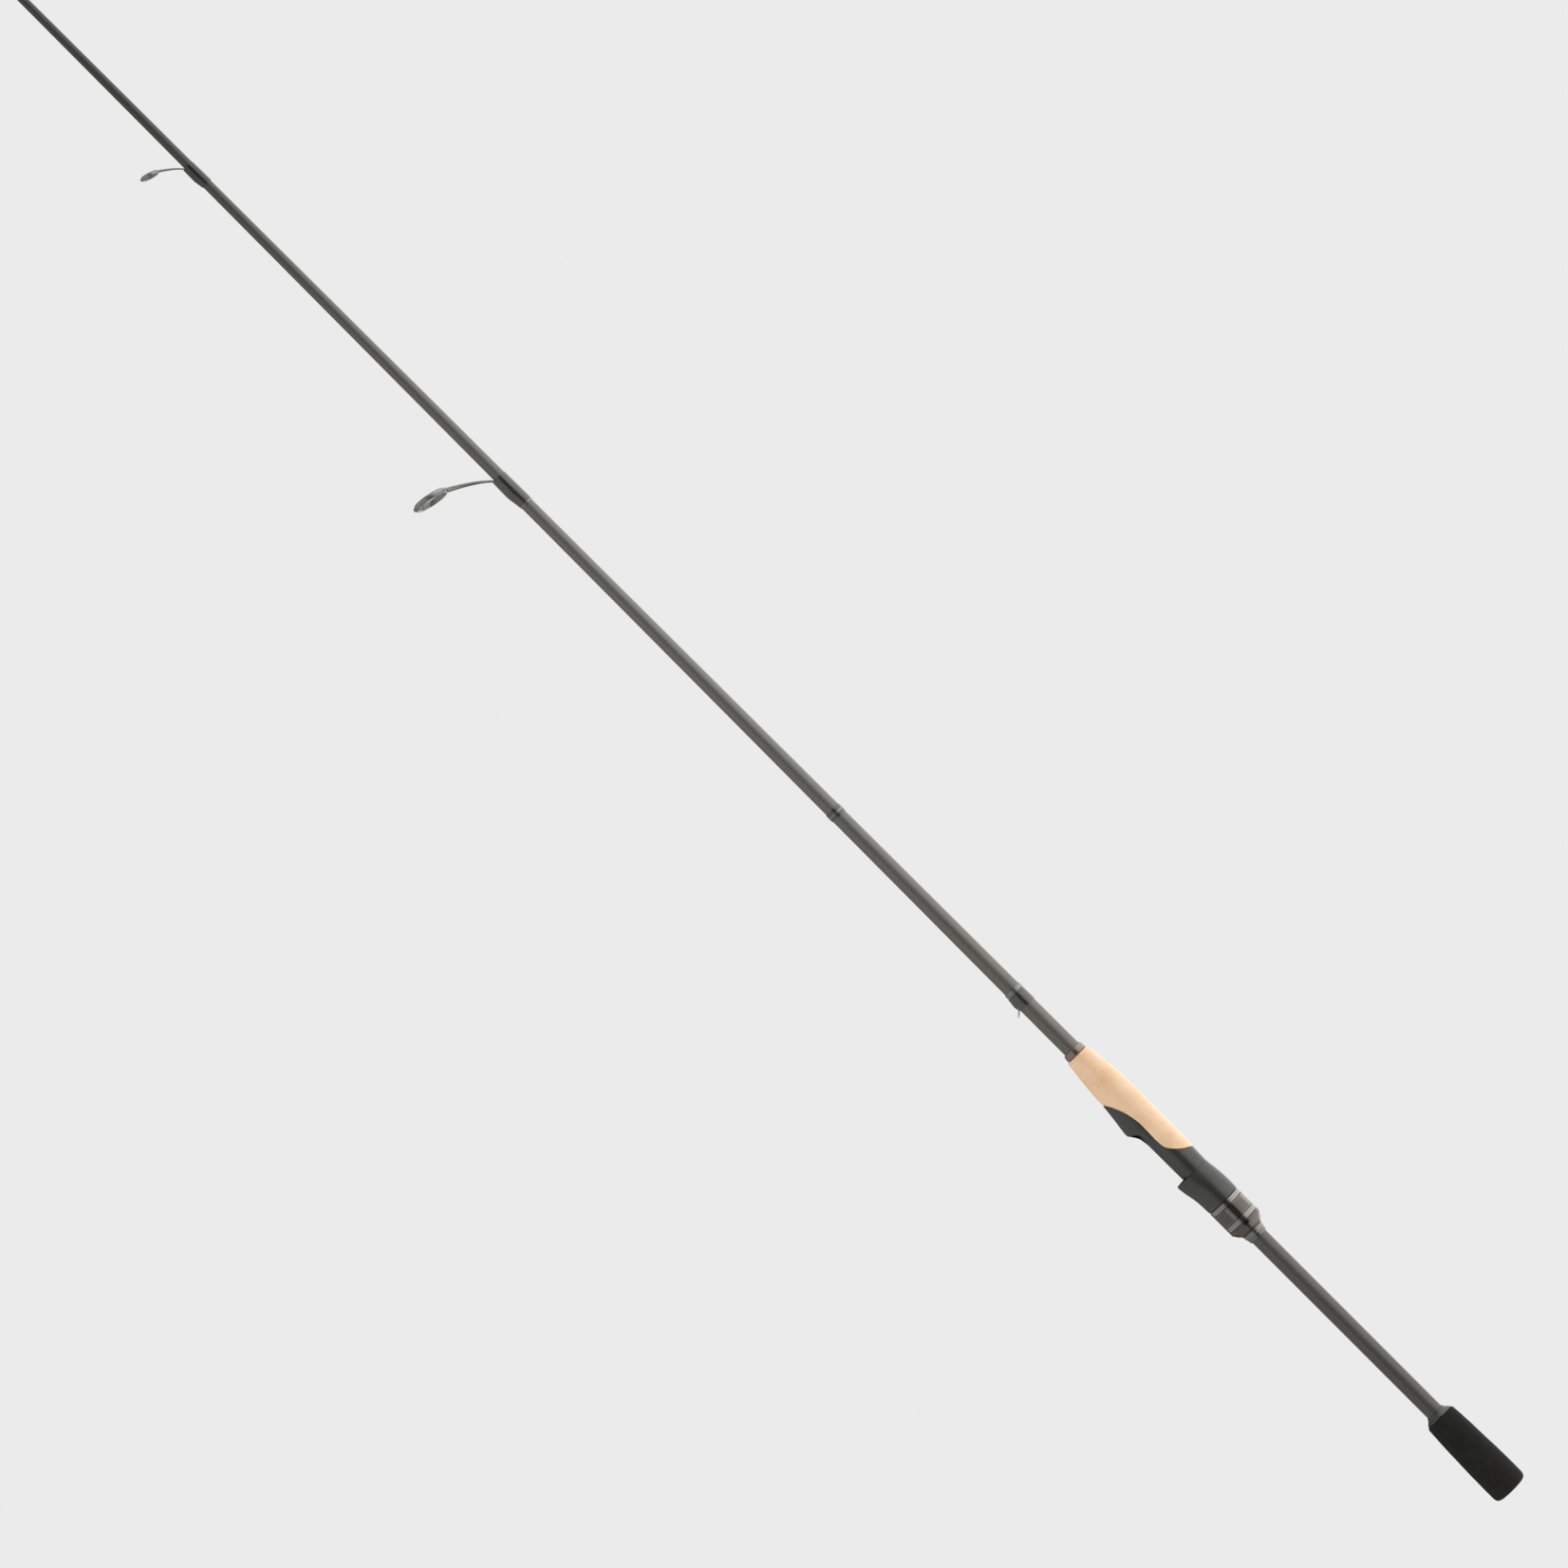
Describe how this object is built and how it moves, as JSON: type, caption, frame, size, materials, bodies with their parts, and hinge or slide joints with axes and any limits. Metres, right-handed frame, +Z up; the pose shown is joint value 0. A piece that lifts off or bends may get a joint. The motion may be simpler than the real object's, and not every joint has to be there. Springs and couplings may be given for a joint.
{
  "type": "spinning fishing rod",
  "caption": "One-piece spinning rod with a slim bare blank, foam rear grip, screw-locked reel seat, cork foregrip and single-foot guides on one side.",
  "frame": {"origin": "middle of the butt's end face, on the rod's axis", "axes": "+X along the rod from the butt to the tip, +Y towards the side of the guides and the reel's foot, +Z up as the rod lies on its side"},
  "size_m": [2.1326, 0.0671, 0.0256],
  "materials": {
    "blank": "satin clear coat over dark olive-grey graphite",
    "eva": "matte closed-cell foam",
    "rubber": "matte",
    "seat": "satin moulded plastic",
    "nut_metal": "satin anodised brown-grey, knurled",
    "bright_metal": "satin turned",
    "check_metal": "satin anodised dark red-brown",
    "cork": "sanded, small pores",
    "thread": "thread under clear epoxy",
    "guide_frame": "polished smoke grey",
    "guide_ring": "polished ceramic",
    "steel": "bright drawn stainless steel",
    "arbor": "rigid foam"
  },
  "bodies": {
    "rod": {"blank": "blank", "rear_grip": "eva", "butt_cap": "rubber", "grip_trim_cone": "seat", "reel_seat": "seat", "fixed_hood_liner": "steel", "hook_keeper": "steel", "rear_arbor": "arbor", "middle_arbor": "arbor", "front_arbor": "arbor", "seat_end_ring": "nut_metal", "cork_foregrip": "cork", "front_check": "check_metal", "keeper_wrap": "thread", "mid_wrap_rear": "thread", "mid_wrap_front": "thread", "keeper_trim_band": "bright_metal", "mid_trim_ring": "bright_metal", "guide_1_trim_ring": "bright_metal", "guide_1_frame": "guide_frame", "guide_1_ring": "guide_ring", "guide_1_wrap": "thread", "guide_2_frame": "guide_frame", "guide_2_ring": "guide_ring", "guide_2_wrap": "thread", "guide_3_frame": "guide_frame", "guide_3_ring": "guide_ring", "guide_3_wrap": "thread", "guide_4_frame": "guide_frame", "guide_4_ring": "guide_ring", "guide_4_wrap": "thread", "guide_5_frame": "guide_frame", "guide_5_ring": "guide_ring", "guide_5_wrap": "thread", "guide_6_frame": "guide_frame", "guide_6_ring": "guide_ring", "guide_6_wrap": "thread", "guide_7_frame": "guide_frame", "guide_7_ring": "guide_ring", "guide_7_wrap": "thread", "guide_8_frame": "guide_frame", "guide_8_ring": "guide_ring", "guide_8_wrap": "thread", "tip_top_frame": "guide_frame", "tip_top_ring": "guide_ring", "tip_top_wrap": "thread"},
    "hood": {"sliding_hood": "seat", "sliding_hood_liner": "steel"},
    "nut": {"lock_nut": "nut_metal", "nut_ring_rear": "bright_metal", "nut_ring_front": "bright_metal"}
  },
  "joints": [
    {"name": "hood_slide", "type": "slide", "parent": "rod", "child": "hood", "axis": [1, 0, 0], "range_m": [-0.0162, 0]},
    {"name": "nut_turn", "type": "hinge", "parent": "hood", "child": "nut", "pos_m": [0.246, 0, 0], "axis": [1, 0, 0], "range_deg": [-2880, 0]}
  ],
  "couplings": [
    {"joint": "hood_slide", "follows": "nut_turn", "m_per_rad": 0.00031831}
  ]
}
